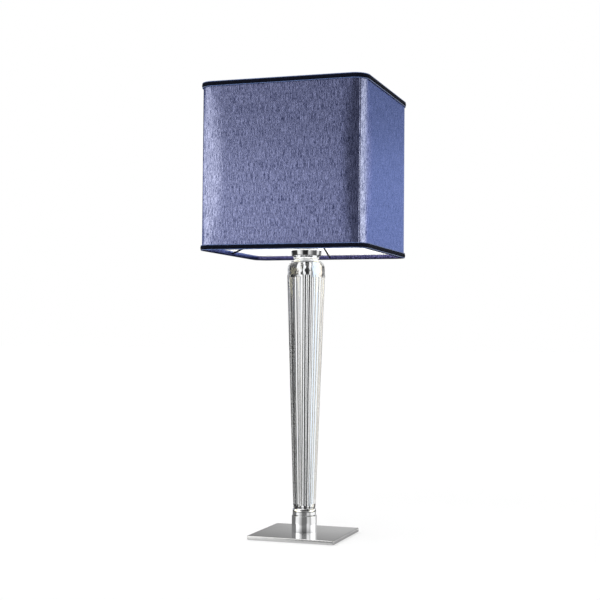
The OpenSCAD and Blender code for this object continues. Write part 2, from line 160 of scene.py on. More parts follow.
def tinted(factor, dark, light):
    """A colour between two, as the factor says."""
    mix = factor.id_data.nodes.new("ShaderNodeMix")
    mix.data_type = "RGBA"
    for label, value in (("Factor", factor), ("A", dark), ("B", light)):
        feed(mix.inputs[label], value)
    return mix.outputs["Result"]


def add_piece(name, bm, *finishes, flat_faces=True):
    """Makes a mesh object of a bmesh, in its place, with smooth faces; flat_faces keeps its flats even."""
    mesh = bpy.data.meshes.new(name)
    bm.to_mesh(mesh)
    bm.free()
    mesh.shade_smooth()
    for finish in finishes:
        mesh.materials.append(finish)
    piece = hold(name, mesh)
    if flat_faces:
        evened = piece.modifiers.new("even_flats", "WEIGHTED_NORMAL")
        evened.keep_sharp = True
    return piece


def dress(node, name, bm, *finishes, body="lamp", slot=None, flat_faces=True):
    """Adds the piece that takes a CAD node's place on its body; the slot argument is not used."""
    piece = add_piece(name, bm, *finishes, flat_faces=flat_faces)
    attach(piece, body)
    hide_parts(node)
    return piece


def soften(bm, width, steps=3, least=30):
    """Rounds each edge that turns by more than the least angle, in degrees."""
    sharp = [e for e in bm.edges if len(e.link_faces) == 2 and e.calc_face_angle() > math.radians(least)]
    bmesh.ops.bevel(bm, geom=sharp, offset=width, segments=steps, profile=0.5,
        affect="EDGES", material=-1, clamp_overlap=True)


pile, pile_in, pile_out = new_effect(
    "pile", {"Size": 1.0, "Clump": 1.0}, {"Height": "Float", "Shade": "Float"})
pile_at = coordinates(pile)
feed(pile_out["Height"], noise_in(pile_at, 2600, pile_in["Size"], 0.7))
feed(pile_out["Shade"], spread(noise_in(pile_at, 420, pile_in["Clump"], 0.6), 0, 1))

felt, felt_tree, felt_shader = new_finish("felt", (0.16, 0.16, 0.165), 0.95, sheen_weight=0.4)
felt_pile = use_effect(felt_tree, pile, size=4.0, clump=2.0)
surface(felt_shader, felt_pile["Height"], 0.8, 0.4 * mm,
    base_color=tinted(felt_pile["Shade"], (0.12, 0.12, 0.125), (0.21, 0.21, 0.215)))

feet_low, feet_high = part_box("base_feet")
foot_r = 7 * mm
foot_t = feet_high.z - feet_low.z
foot_edge_r = 0.2 * mm
foot_x = feet_high.x - foot_r
feet = bmesh.new()
for side_x, side_y in ((-1, -1), (1, -1), (1, 1), (-1, 1)):
    bmesh.ops.create_cone(feet, cap_ends=True, segments=48, radius1=foot_r, radius2=foot_r, depth=foot_t,
        matrix=Matrix.Translation((side_x * foot_x, side_y * foot_x, foot_t / 2)))
soften(feet, foot_edge_r, 2)
felt_feet = dress("base_feet", "felt_feet", feet, felt)

# Base plate
# A square plate of steel, with rounded edges, ground and polished to a mirror.
# Its underside has a round recess, where the washer and the nut of the centre tube lie.
polish, polish_in, polish_out = new_effect(
    "polish", {"Least": 0.03, "Most": 0.08, "Scale": 30.0}, {"Roughness": "Float", "Height": "Float"})
polish_at = coordinates(polish)
polish_wipes = noise_in(polish_at, polish_in["Scale"], 4, 0.6)
feed(polish_out["Roughness"], spread(polish_wipes, polish_in["Least"], polish_in["Most"]))
feed(polish_out["Height"], noise_in(polish_at, 900, 3, 0.7))


def polished(name, colour, least, most, scale, relief=0.02):
    """A polished metal with faint wipe marks in its gloss."""
    material, tree, shader = new_finish(name, colour, most, metallic=1.0)
    wipes = use_effect(tree, polish, least=least, most=most, scale=scale)
    surface(shader, wipes["Height"], relief, 0.02 * mm, roughness=wipes["Roughness"])
    return material


polished_steel = polished("polished_steel", (0.62, 0.62, 0.625), 0.04, 0.08, 14)
plate_low, plate_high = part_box("base_plate")
plate_corner_r = 3 * mm
plate_edge_r = 1.2 * mm
recess_r = 12 * mm
recess_h = 4.3 * mm
plate = bmesh.new()
bmesh.ops.create_cube(plate, size=1.0)
bmesh.ops.scale(plate, vec=plate_high - plate_low, verts=plate.verts)
bmesh.ops.translate(plate, vec=(plate_low + plate_high) / 2, verts=plate.verts)
bmesh.ops.bevel(plate, geom=[e for e in plate.edges if abs(e.verts[0].co.z - e.verts[1].co.z) > mm],
    offset=plate_corner_r, segments=8, profile=0.5, affect="EDGES", material=-1)
soften(plate, plate_edge_r, 6)
plate_under = min(plate.faces, key=lambda f: f.calc_center_median().z + f.normal.z)
under_rim = list(plate_under.edges)
bmesh.ops.delete(plate, geom=[plate_under], context="FACES_ONLY")
recess = bmesh.ops.create_circle(plate, segments=64, radius=recess_r, matrix=Matrix.Translation((0, 0, plate_low.z)))
recess_rim = list({e for v in recess["verts"] for e in v.link_edges})
bmesh.ops.bridge_loops(plate, edges=under_rim + recess_rim)
recess_top = bmesh.ops.extrude_edge_only(plate, edges=recess_rim)["geom"]
bmesh.ops.translate(plate, vec=(0, 0, recess_h), verts=[g for g in recess_top if isinstance(g, bmesh.types.BMVert)])
bmesh.ops.contextual_create(plate, geom=[g for g in recess_top if isinstance(g, bmesh.types.BMEdge)])
bmesh.ops.recalc_face_normals(plate, faces=plate.faces)
ground_steel = polished("ground_steel", (0.85, 0.85, 0.855), 0.18, 0.26, 60, 0.1)
for side in plate.faces:
    side.material_index = 1 if abs(side.normal.z) < 0.5 and side.calc_center_median().xy.length > recess_r else 0
dress("base_plate", "steel_plate", plate, polished_steel, ground_steel)

# Nuts, washer, threaded tube and clamp screw
# Zinc-plated steel parts that draw the foot, the glass and the lampholder together.
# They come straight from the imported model: their shapes are right as they are.
zinc_steel = polished("zinc_steel", (0.52, 0.52, 0.5), 0.22, 0.4, 90, 0.2)


def finish_node(name, material):
    """Gives a CAD node a finish of this scene."""
    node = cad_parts[name]
    node.data.materials.clear()
    node.data.materials.append(material)


for zinc_part in ("base_washer", "base_nut", "centre_tube", "cup_nut", "holder_cap_screw"):
    finish_node(zinc_part, zinc_steel)


# Base collar
# A chrome-plated tube with a closed top, clamped on the plate by the centre tube.
# The terminal block lies in it, and the mains lead comes in through a bush at its back.
def turned(profile, steps=128):
    """A part turned about the lamp's axis: a closed profile of (radius, height) points, spun round."""
    bm = bmesh.new()
    points = [bm.verts.new((radius, 0, height)) for radius, height in profile]
    outline = [bm.edges.new((a, b)) for a, b in zip(points, points[1:] + points[:1])]
    bmesh.ops.spin(bm, geom=points + outline, cent=(0, 0, 0), axis=(0, 0, 1),
        angle=2 * math.pi, steps=steps, use_merge=True)
    bmesh.ops.remove_doubles(bm, verts=bm.verts, dist=0.001 * mm)
    bmesh.ops.recalc_face_normals(bm, faces=bm.faces)
    return bm


def arc(centre_r, centre_z, radius_r, radius_z, start, end, steps=10):
    """Points on an arc of a turned part's profile, from one angle to another in degrees."""
    angles = [math.radians(start + (end - start) * i / steps) for i in range(steps + 1)]
    return [(centre_r + radius_r * math.cos(a), centre_z + radius_z * math.sin(a)) for a in angles]


def turned_piece(node, name, finish, profile, edge=0, edge_steps=3, **place):
    """Turns a piece, rounds its sharp edges where an edge is given, and puts it in its CAD node's place."""
    bm = turned(profile)
    if edge:
        soften(bm, edge, edge_steps, 60)
    return dress(node, name, bm, finish, **place)


chrome = polished("chrome", (0.86, 0.865, 0.87), 0.015, 0.045, 40)
collar_low, collar_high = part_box("base_collar")
collar_r = collar_high.x
collar_wall = 2.5 * mm
collar_top_t = 3 * mm
collar_round = 0.5 * mm
tube_hole_r = 5.15 * mm
turned_piece("base_collar", "chrome_collar", chrome,
    [(collar_r - collar_wall, collar_low.z), (collar_r, collar_low.z)]
    + arc(collar_r - collar_round, collar_high.z - collar_round, collar_round, collar_round, 0, 90, 4)
    + [(tube_hole_r, collar_high.z), (tube_hole_r, collar_high.z - collar_top_t),
        (collar_r - collar_wall, collar_high.z - collar_top_t)])

# Cable bush, terminal block and inner leads
# The bush is black plastic, the block is ivory plastic with brass screws under its holes,
# and the two leads run from it up the centre tube to the lampholder.
moulding, moulding_in, moulding_out = new_effect(
    "moulding", {"Grain": 1200.0, "Haze": 60.0}, {"Height": "Float", "Gloss": "Float"})
moulding_at = coordinates(moulding)
feed(moulding_out["Height"], noise_in(moulding_at, moulding_in["Grain"], 2, 0.6))
feed(moulding_out["Gloss"], noise_in(moulding_at, moulding_in["Haze"], 3, 0.6))


def moulded(name, dark, light, gloss, dull, relief=0.15):
    """A moulded plastic with a fine grain and an uneven gloss."""
    material, tree, shader = new_finish(name, light, dull)
    grain = use_effect(tree, moulding)
    surface(shader, grain["Height"], relief, 0.05 * mm,
        base_color=tinted(grain["Gloss"], dark, light), roughness=spread(grain["Gloss"], gloss, dull))
    return material


finish_node("cable_bush", moulded("black_plastic", (0.012, 0.012, 0.013), (0.03, 0.03, 0.032), 0.3, 0.45))
finish_node("terminal_block", moulded("ivory_plastic", (0.62, 0.58, 0.47), (0.7, 0.66, 0.55), 0.35, 0.5))
finish_node("inner_leads", moulded("lead_sheath", (0.6, 0.6, 0.58), (0.75, 0.75, 0.73), 0.35, 0.5))

# Lower ring
# A turned and chrome-plated ring on the collar. The foot of the glass stands in it,
# its top is rounded in towards the glass, and a groove parts it from the collar.
lower_low, lower_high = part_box("lower_ring")
lower_r = lower_high.x
spigot_seat_r = 16.8 * mm
lower_lip_r = spigot_seat_r + 1.4 * mm
lower_round_h = 6 * mm
groove = 0.9 * mm
groove_h = 1.1 * mm
groove_edge = 0.25 * mm
ring_floor_t = 3 * mm
turned_piece("lower_ring", "chrome_lower_ring", chrome,
    [(tube_hole_r, lower_low.z), (lower_r - groove, lower_low.z), (lower_r - groove, lower_low.z + groove_h),
        (lower_r - groove_edge, lower_low.z + groove_h), (lower_r, lower_low.z + groove_h + groove_edge)]
    + arc(lower_lip_r, lower_high.z - lower_round_h, lower_r - lower_lip_r, lower_round_h, 0, 90, 16)
    + [(spigot_seat_r, lower_high.z), (spigot_seat_r, lower_low.z + ring_floor_t),
        (tube_hole_r, lower_low.z + ring_floor_t)])

# Seals
# Two flat rings of clear soft plastic, punched from sheet, one below and one above the glass.
# They keep the metal off it when the nut in the cup draws the lamp together.
seal = moulded("seal", (0.7, 0.71, 0.72), (0.82, 0.83, 0.84), 0.3, 0.5)
for seal_ring in ("lower_gasket", "upper_gasket"):
    finish_node(seal_ring, seal)

# Sleeve in the glass
# A bright tube that hides the threaded tube and shows as lines through the crystal.
# Both its ends have a small chamfer.
sleeve_low, sleeve_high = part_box("tube_sleeve")
sleeve_r = sleeve_high.x
sleeve_chamfer = 0.4 * mm
turned_piece("tube_sleeve", "bright_sleeve", chrome,
    [(tube_hole_r, sleeve_low.z), (sleeve_r - sleeve_chamfer, sleeve_low.z),
        (sleeve_r, sleeve_low.z + sleeve_chamfer), (sleeve_r, sleeve_high.z - sleeve_chamfer),
        (sleeve_r - sleeve_chamfer, sleeve_high.z), (tube_hole_r, sleeve_high.z)])

# Crystal column
# One piece of clear crystal, bored right through, drawn wider towards its rounded shoulder.
# Sixteen hollow flutes are ground down its sides and polished, with narrow lands between them.
crystal, crystal_tree, crystal_shader = new_finish(
    "crystal", (0.985, 0.99, 0.995), 0.0, transmission_weight=1.0, ior=1.52)
crystal_at = coordinates(crystal_tree)
crystal_drawn = crystal_tree.nodes.new("ShaderNodeMapping")
crystal_drawn.inputs["Scale"].default_value = (1, 1, 0.12)
feed(crystal_drawn.inputs["Vector"], crystal_at)
shoulder_ripple = 2.4
glass_low, glass_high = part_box("glass_column")
flute_count = 16
flute_steps = 10
land_w = 0.9 * mm
low_depth = 0.6 * mm
high_depth = 0.9 * mm
glass_bore_r = 6.6 * mm
glass_spigot_r = 16.5 * mm
glass_low_r = 18.7 * mm
glass_high_r = glass_high.x
glass_top_r = glass_high_r - 6.3 * mm
spigot_top = lower_high.z + 0.2 * mm
low_round = 0.6 * mm
low_round_h = 2.2 * mm
low_band_h = 3 * mm
flute_bottom = lower_high.z + low_round_h + low_band_h
shoulder_z = glass_high.z - 13 * mm
flute_top = shoulder_z - 9 * mm
flute_levels = 24
shoulder_steps = 16


def round_point(radius, turn, height):
    """A point at a radius and a turn about the lamp's axis."""
    return Vector((radius * math.cos(turn), radius * math.sin(turn), height))


def bite(bite_at, bite_r, half, steps):
    """Turns and radii over a round bite out of a rim: where its centre is, its own radius, half its spread."""
    turns = [half * (2 * j / steps - 1) for j in range(steps + 1)]
    return [(turn, bite_at * math.cos(turn) - math.sqrt(max(0, bite_r ** 2 - (bite_at * math.sin(turn)) ** 2)))
        for turn in turns]


def flute_radii(body_r, depth):
    """The radius at each point round the column, where its flutes are cut to the given depth."""
    chord = 2 * math.pi * body_r / flute_count - land_w
    cutter_r = (chord * chord / 4 + depth * depth) / (2 * depth)
    return bite(body_r - depth + cutter_r, cutter_r, math.asin(chord / 2 / body_r), flute_steps)


def ring_points(body_r, depth, height):
    """All points round the column at one height; a depth of 0 gives a plain ring."""
    shape = flute_radii(body_r, depth or low_depth)
    points = []
    for k in range(flute_count):
        middle = 2 * math.pi * (k + 0.5) / flute_count
        points += [round_point(radius if depth else body_r, middle + turn, height) for turn, radius in shape]
    return points


def extruded(bm, edges):
    """Extrudes a chain of edges once, and gives its new points and its new edges."""
    grown = bmesh.ops.extrude_edge_only(bm, edges=edges)["geom"]
    points = [g for g in grown if isinstance(g, bmesh.types.BMVert)]
    return points, [g for g in grown if isinstance(g, bmesh.types.BMEdge) and all(v in points for v in g.verts)]


def lofted_rings(rings):
    """A closed skin through rings of as many points each, extruded from one ring to the next."""
    bm = bmesh.new()
    verts = [bm.verts.new(p) for p in rings[0]]
    edges = [bm.edges.new((a, b)) for a, b in zip(verts, verts[1:] + verts[:1])]
    for ring in rings[1:]:
        grown, edges = extruded(bm, edges)
        by_place = {tuple(round(c, 9) for c in v.co): v for v in grown}
        verts = [by_place[tuple(round(c, 9) for c in old.co)] for old in verts]
        for vert, point in zip(verts, ring):
            vert.co = point
    return bm


def close_ends(bm):
    """Joins a skin's two open rims, and turns its faces outwards."""
    bmesh.ops.bridge_loops(bm, edges=[e for e in bm.edges if len(e.link_faces) < 2])
    bmesh.ops.recalc_face_normals(bm, faces=bm.faces)


def parts_of(vector):
    """The X, Y and Z of a vector."""
    node = vector.id_data.nodes.new("ShaderNodeSeparateXYZ")
    feed(node.inputs["Vector"], vector)
    return node.outputs


def arithmetic(kind, operation, *values, **named):
    """One step of a Math or a VectorMath node."""
    node = values[0].id_data.nodes.new("ShaderNode" + kind)
    node.operation = operation
    for socket, value in [*zip(node.inputs, values), *((node.inputs[label], named[label]) for label in named)]:
        feed(socket, value)
    return node.outputs["Value" if kind == "Math" or operation == "LENGTH" else "Vector"]


crystal_waves = arithmetic("Math", "MULTIPLY_ADD",
    noise_in(crystal_at, 150, 1, 0.5),
    spread(parts_of(crystal_at)["Z"], 0, shoulder_ripple, flute_top - 4 * mm, flute_top + 3 * mm),
    noise_in(crystal_drawn.outputs["Vector"], 70, 1, 0.4))
surface(crystal_shader, crystal_waves, 1.0, 0.4 * mm)

glass_rings = [ring_points(glass_spigot_r, 0, glass_low.z), ring_points(glass_spigot_r, 0, spigot_top)]
glass_rings += [ring_points(r, 0, z) for r, z in arc(
    glass_low_r - low_round, flute_bottom - low_band_h, low_round, low_round_h - low_round, -90, 0, 4)]
glass_rings += [ring_points(glass_low_r, 0, flute_bottom)]
for level in range(flute_levels + 1):
    share = level / flute_levels
    glass_rings.append(ring_points(
        glass_low_r + (glass_high_r - glass_low_r) * share,
        low_depth + (high_depth - low_depth) * share,
        flute_bottom + (flute_top - flute_bottom) * share))
glass_rings += [ring_points(glass_high_r, 0, flute_top)]
glass_rings += [ring_points(r, 0, z) for r, z in arc(
    glass_top_r, shoulder_z, glass_high_r - glass_top_r, glass_high.z - shoulder_z, 0, 90, shoulder_steps)]
glass_rings += [ring_points(glass_bore_r, 0, glass_high.z), ring_points(glass_bore_r, 0, glass_low.z)]
column = lofted_rings(glass_rings)
close_ends(column)
for arris in column.edges:
    arris.smooth = arris.calc_face_angle(0) < math.radians(20)
dress("glass_column", "crystal_column", column, crystal, flat_faces=False)

# Disc, neck and cup
# Three chrome-plated turnings on top of the glass: a thin disc, a neck with a round foot,
# and an open cup with a sloping foot that the lampholder stands in.
disc_low, disc_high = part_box("rim_disc")
disc_edge_r = 0.3 * mm
turned_piece("rim_disc", "chrome_disc", chrome,
    [(tube_hole_r, disc_low.z), (disc_high.x, disc_low.z), (disc_high.x, disc_high.z), (tube_hole_r, disc_high.z)],
    disc_edge_r)

neck_low, neck_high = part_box("neck")
neck_low_r = 18.25 * mm
neck_high_r = neck_high.x
neck_step = 1 * mm
neck_foot_h = 3 * mm
neck_lean = 0.1 * mm
turned_piece("neck", "chrome_neck", chrome,
    [(tube_hole_r, neck_low.z), (neck_low_r, neck_low.z)]
    + arc(neck_low_r, neck_low.z + neck_step + neck_foot_h, neck_high_r - neck_lean - neck_low_r,
        neck_foot_h, -90, 0, 12)
    + [(neck_high_r, neck_high.z), (tube_hole_r, neck_high.z)])

cup_low, cup_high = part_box("socket_cup")
cup_low_r = 22 * mm
cup_high_r = cup_high.x
cup_wall = 1.6 * mm
cup_lip = 1.2 * mm
cup_edge_r = 24.2 * mm
cup_side_r = 25.05 * mm
cup_foot_h = 1.8 * mm
turned_piece("socket_cup", "chrome_cup", chrome,
    [(tube_hole_r, cup_low.z), (cup_low_r, cup_low.z), (cup_edge_r, cup_low.z),
        (cup_side_r, cup_low.z + cup_foot_h)]
    + arc(cup_high_r - cup_lip, cup_high.z - cup_lip, cup_lip, cup_lip, -8, 90, 8)
    + [(cup_high_r - cup_wall + 0.2 * mm, cup_high.z - 0.1 * mm),
        (cup_high_r - cup_wall - 0.3 * mm, cup_high.z - 2 * cup_lip),
        (cup_low_r - cup_wall, cup_low.z + cup_wall), (tube_hole_r, cup_low.z + cup_wall)])

# Lampholder
# A white moulded E27 holder: a domed cap screwed on the tube, a body with an outside thread
# for the shade rings, and inside it a ceramic core with the brass screw shell and contact.
white_plastic = moulded("white_plastic", (0.74, 0.74, 0.72), (0.82, 0.82, 0.8), 0.28, 0.42)
cap_low, cap_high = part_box("holder_cap")
holder_r = cap_high.x
holder_wall = 2 * mm
cap_round = 8 * mm
cap_entry = 11 * mm
cap_step = 0.35 * mm
cap_step_h = 2 * mm
cap_step_end = 1.6 * mm
turned_piece("holder_cap", "lampholder_cap", white_plastic,
    [(tube_hole_r, cap_low.z)]
    + arc(holder_r - cap_round, cap_low.z + cap_round, cap_round, cap_round, -90, 0, 14)
    + [(holder_r, cap_high.z - cap_step_h), (holder_r - cap_step, cap_high.z - cap_step_end),
        (holder_r - cap_step, cap_high.z), (holder_r - holder_wall, cap_high.z),
        (holder_r - holder_wall, cap_low.z + cap_entry), (tube_hole_r, cap_low.z + cap_entry)])


def threaded_piece(node, name, finish, depth, pitch, wall, **place):
    """A tube with a round thread outside: a rising profile spun turn upon turn, then cut level at both ends."""
    box_low, box_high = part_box(node)
    crest_r, low, high = box_high.x, box_low.z, box_high.z
    bm = bmesh.new()
    waves = 6
    steps = 48
    profile = [bm.verts.new((crest_r - depth * (0.5 - 0.5 * math.cos(2 * math.pi * i / waves)), 0,
        low - pitch + pitch * i / waves)) for i in range(waves + 1)]
    outline = [bm.edges.new((a, b)) for a, b in zip(profile, profile[1:])]
    turns = math.ceil((high - low) / pitch) + 1
    bmesh.ops.spin(bm, geom=profile + outline, cent=(0, 0, 0), axis=(0, 0, 1),
        dvec=(0, 0, pitch / steps), angle=2 * math.pi * turns, steps=steps * turns)
    bmesh.ops.remove_doubles(bm, verts=bm.verts, dist=0.001 * mm)
    for end, way in ((low, -1), (high, 1)):
        bmesh.ops.bisect_plane(bm, geom=bm.verts[:] + bm.edges[:] + bm.faces[:],
            plane_co=(0, 0, end), plane_no=(0, 0, way), clear_outer=True)
    for end in (low, high):
        rim = [e for e in bm.edges if len(e.link_faces) == 1 and all(abs(v.co.z - end) < 0.01 * mm for v in e.verts)]
        bore = bmesh.ops.create_circle(bm, segments=96, radius=crest_r - wall, matrix=Matrix.Translation((0, 0, end)))
        bmesh.ops.bridge_loops(bm, edges=rim + list({e for v in bore["verts"] for e in v.link_edges}))
    close_ends(bm)
    dress(node, name, bm, finish, flat_faces=False, **place)


holder_pitch = 2.5 * mm
threaded_piece("holder_body", "lampholder_body", white_plastic, 0.6 * mm, holder_pitch, holder_wall)
core_ceramic = moulded("core_ceramic", (0.72, 0.69, 0.62), (0.8, 0.78, 0.72), 0.15, 0.3, 0.05)
finish_node("holder_core", core_ceramic)
brass = polished("brass", (0.8, 0.6, 0.27), 0.15, 0.32, 120, 0.1)
finish_node("centre_contact", brass)
screw_pitch = 3.6 * mm
shell_wall = 1 * mm
threaded_piece("thread_shell", "screw_shell", brass, 0.4 * mm, screw_pitch, shell_wall)

# Shade ring nuts
# Two moulded rings with finger notches that screw on the lampholder,
# one under and one over the centre ring of the shade.
nut_notches = 12
notch_steps = 8
notch_r = 2.5 * mm
notch_out = 1 * mm
nut_clear = 0.08 * mm
nut_edge_r = 0.35 * mm


def notched_ring(outer_r, height):
    """Points round a ring nut: its notches are round bites out of its rim."""
    bite_at = outer_r + notch_out
    half = math.acos((outer_r ** 2 + bite_at ** 2 - notch_r ** 2) / (2 * outer_r * bite_at))
    points = []
    for k in range(nut_notches):
        middle = 2 * math.pi * k / nut_notches
        points += [round_point(radius, middle + turn, height)
            for turn, radius in bite(bite_at, notch_r, half, notch_steps)]
        points += [round_point(outer_r, middle + half + (math.pi * 2 / nut_notches - 2 * half) * j / 4, height)
            for j in range(1, 4)]
    return points


def round_ring(outer, radius, height):
    """A plain ring with a point beside each of the outer ring's points."""
    return [Vector((p.x, p.y, 0)).normalized() * radius + Vector((0, 0, height)) for p in outer]


for nut_node, nut_body, nut_name in (
        ("lower_shade_nut", "lower_nut", "shade_nut_under"), ("upper_shade_nut", "upper_nut", "shade_nut_over")):
    nut_low, nut_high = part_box(nut_node)
    nut_rim = notched_ring(nut_high.x, nut_low.z)
    nut_bore_r = holder_r + nut_clear
    nut = lofted_rings([
        round_ring(nut_rim, nut_bore_r, nut_low.z), nut_rim, notched_ring(nut_high.x, nut_high.z),
        round_ring(nut_rim, nut_bore_r, nut_high.z)])
    close_ends(nut)
    soften(nut, nut_edge_r, 2, 50)
    dress(nut_node, nut_name, nut, white_plastic, body=nut_body)

# Bulb
# An E27 globe bulb of opal glass. Its screw cap is rolled from nickel-plated brass,
# over a black glass insulator that carries the tip contact.
bulb_metal = polished("bulb_cap_nickel", (0.72, 0.7, 0.66), 0.12, 0.25, 150, 0.1)
opal, opal_tree, opal_shader = new_finish(
    "bulb_glass", (0.9, 0.9, 0.88), 0.18, coat_weight=0.5, coat_roughness=0.05)
opal_haze = noise_in(coordinates(opal_tree), 35, 3)
surface(opal_shader, roughness=spread(opal_haze, 0.14, 0.24))
finish_node("bulb_base", moulded("bulb_base", (0.01, 0.01, 0.012), (0.03, 0.03, 0.032), 0.1, 0.2, 0.02))
bulb_wall = 0.8 * mm
threaded_piece(
    "bulb_cap", "bulb_screw_cap", bulb_metal, 0.5 * mm, screw_pitch, bulb_wall, body="bulb", slot="bulb_cap")

bulb_low, bulb_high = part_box("bulb_glass")
globe_r = bulb_high.x
globe_z = bulb_high.z - globe_r
bulb_neck_r = 13.5 * mm
globe_start = 0.35
throat_steps = 14
throat_top = globe_z - globe_r * globe_start
throat_top_r = globe_r * math.sqrt(1 - globe_start ** 2)


def bulb_side(inset):
    """The bulb's side, from its neck up to its crown."""
    side = []
    for i in range(throat_steps):
        share = i / throat_steps
        swell = share * share * (3 - 2 * share)
        side.append((bulb_neck_r + (throat_top_r - bulb_neck_r) * swell - inset,
            bulb_low.z + (throat_top - bulb_low.z) * share))
    start = -math.degrees(math.asin(globe_start))
    return side + arc(0, globe_z, globe_r - inset, globe_r - inset, start, 90, 28)


turned_piece("bulb_glass", "bulb_globe", opal, bulb_side(0) + bulb_side(bulb_wall)[::-1],
    body="bulb", flat_faces=False)

# Shade frame
# Steel wire, bent and spot-welded: a loop at the bottom and one at the top, and four arms
# that slope up to the flat ring clamped on the lampholder. The stiff lining joins the loops.
frame_wire = polished("frame_wire", (0.05, 0.05, 0.052), 0.3, 0.5, 120, 0.2)
loop_low, loop_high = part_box("frame_bottom")
fabric_low, fabric_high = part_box("fabric_front")
wire_r = (loop_high.z - loop_low.z) / 2
bottom_wire_z = loop_low.z + wire_r
top_wire_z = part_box("frame_top")[0].z + wire_r
shade_half = -fabric_low.y
shade_corner_r = 22 * mm
side_half = shade_half - shade_corner_r
wire_in = shade_half - (loop_high.x - wire_r)
corner_steps = 10


def corner_places(turn):
    """Places along the girth from the end of a flat side to a turn of its corner, in radians."""
    return [side_half + shade_corner_r * turn * i / corner_steps for i in range(1, corner_steps + 1)]


def stations(side_steps, last_turn=math.pi / 4):
    """Places along a quarter of the shade's girth, close together on its two bits of corner."""
    side = [side_half * (2 * i / side_steps - 1) for i in range(side_steps + 1)]
    before = [-place for place in reversed(corner_places(math.pi / 2 - last_turn))]
    return before + side + corner_places(last_turn)


def straight_strip(section, places, closed=True, into=None):
    """Carries a section of (outwards, height) points along a straight line, before it is wrapped round."""
    bm = bmesh.new() if into is None else into
    points = [bm.verts.new((places[0], -out, height)) for out, height in section]
    edges = [bm.edges.new(pair) for pair in zip(points, points[1:] + (points[:1] if closed else []))]
    for before, place in zip(places, places[1:]):
        points, edges = extruded(bm, edges)
        bmesh.ops.translate(bm, vec=(place - before, 0, 0), verts=points)
    return bm


def wrap_round(bm, girth=None):
    """Bends a straight strip round one quarter of the shade: half a corner, the side, half a corner.

    A girth function gives the cloth's own outline; without one the corners are plain arcs."""
    for vert in bm.verts:
        along, out, height = vert.co.x, -vert.co.y, vert.co.z
        if girth:
            at, outwards = girth(along, height)
            vert.co = (at.x + out * outwards.x, at.y + out * outwards.y, height)
            continue
        turn = max(0, abs(along) - side_half) / shade_corner_r
        way = math.copysign(1, along)
        reach = shade_corner_r + out
        vert.co = (
            way * (min(abs(along), side_half) + reach * math.sin(turn)),
            -side_half - reach * math.cos(turn), height)


def round_shade(bm, girth=None):
    """Bends a straight strip round one quarter, repeats it on all four sides and joins the four."""
    wrap_round(bm, girth)
    whole = bm.verts[:] + bm.edges[:] + bm.faces[:]
    for k in range(1, 4):
        copied = bmesh.ops.duplicate(bm, geom=whole)["geom"]
        bmesh.ops.rotate(bm, cent=(0, 0, 0), matrix=Matrix.Rotation(k * math.pi / 2, 3, "Z"),
            verts=[g for g in copied if isinstance(g, bmesh.types.BMVert)])
    bmesh.ops.remove_doubles(bm, verts=bm.verts, dist=0.01 * mm)
    bmesh.ops.recalc_face_normals(bm, faces=bm.faces)


def round_section(out, height, radius, steps=12):
    """The outline of a round wire or cord."""
    return arc(out, height, radius, radius, 0, 360, steps)[:-1]


for loop_node, loop_name, loop_z in (
        ("frame_bottom", "shade_wire_bottom", bottom_wire_z), ("frame_top", "shade_wire_top", top_wire_z)):
    wire = straight_strip(round_section(-wire_in, loop_z, wire_r), stations(4))
    round_shade(wire)
    dress(loop_node, loop_name, wire, frame_wire, body="shade", flat_faces=False)


def rod_between(bm, start, end, radius):
    """Adds a round rod between two points."""
    along = end - start
    place = Matrix.Translation((start + end) / 2) @ along.to_track_quat("Z", "Y").to_matrix().to_4x4()
    bmesh.ops.create_cone(bm, cap_ends=True, segments=12, radius1=radius, radius2=radius,
        depth=along.length, matrix=place)


def weld_at(bm, point, radius):
    """Adds the small bead of a spot weld."""
    bmesh.ops.create_icosphere(bm, subdivisions=2, radius=radius, matrix=Matrix.Translation(point))


spider_low, spider_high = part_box("spider_ring")
spider_r = spider_high.x
spider_hole_r = 21 * mm
arm_r = 1.5 * mm
loop_weld_r = 1.5 * mm
ring_weld_r = 1.4 * mm
ring_edge_r = 0.3 * mm
arm_start = shade_half - wire_in
arms = bmesh.new()
for k in range(4):
    turn = Matrix.Rotation(k * math.pi / 2, 4, "Z")
    arm_foot = turn @ Vector((arm_start, 0, bottom_wire_z))
    arm_head = turn @ Vector((spider_r - arm_r, 0, (spider_low.z + spider_high.z) / 2))
    rod_between(arms, arm_foot, arm_head, arm_r)
    weld_at(arms, turn @ Vector((arm_start - 0.8 * wire_r, 0, bottom_wire_z + wire_r)), loop_weld_r)
    weld_at(arms, turn @ Vector((spider_r, 0, spider_low.z)), ring_weld_r)
dress("spider_arms", "shade_arms", arms, frame_wire, body="shade", flat_faces=False)
turned_piece("spider_ring", "shade_centre_ring", frame_wire,
    [(spider_hole_r, spider_low.z), (spider_r, spider_low.z), (spider_r, spider_high.z),
        (spider_hole_r, spider_high.z)],
    ring_edge_r, 2, body="shade")

# Lining
# White cotton, glued inside the fabric panels and caught under both hems.
# It swells with the fabric where that bellies out a little between the frame's loops.
lining_low, lining_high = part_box("lining")
swell = 2.2 * mm
soft_start, soft_power = 95.6 * mm, 3
left_soft_start, left_soft_power = 93 * mm, 2.3
slack_skew = 0.3
seam_turn = math.radians(36)
ridge_r = 22.4 * mm
ridge_half = math.acos(shade_corner_r / ridge_r)


def taut_outline(along, end):
    """The cloth's outline at the loops: a round corner that runs out straight to a slight ridge at the seam."""
    beyond = max(0, along - side_half) / shade_corner_r
    turn = min(beyond, end - ridge_half)
    on = max(0, beyond - turn) / ridge_half * math.tan(ridge_half)
    return Vector((
        min(along, side_half) + shade_corner_r * (math.sin(turn) + on * math.cos(turn)),
        -side_half - shade_corner_r * (math.cos(turn) - on * math.sin(turn))))


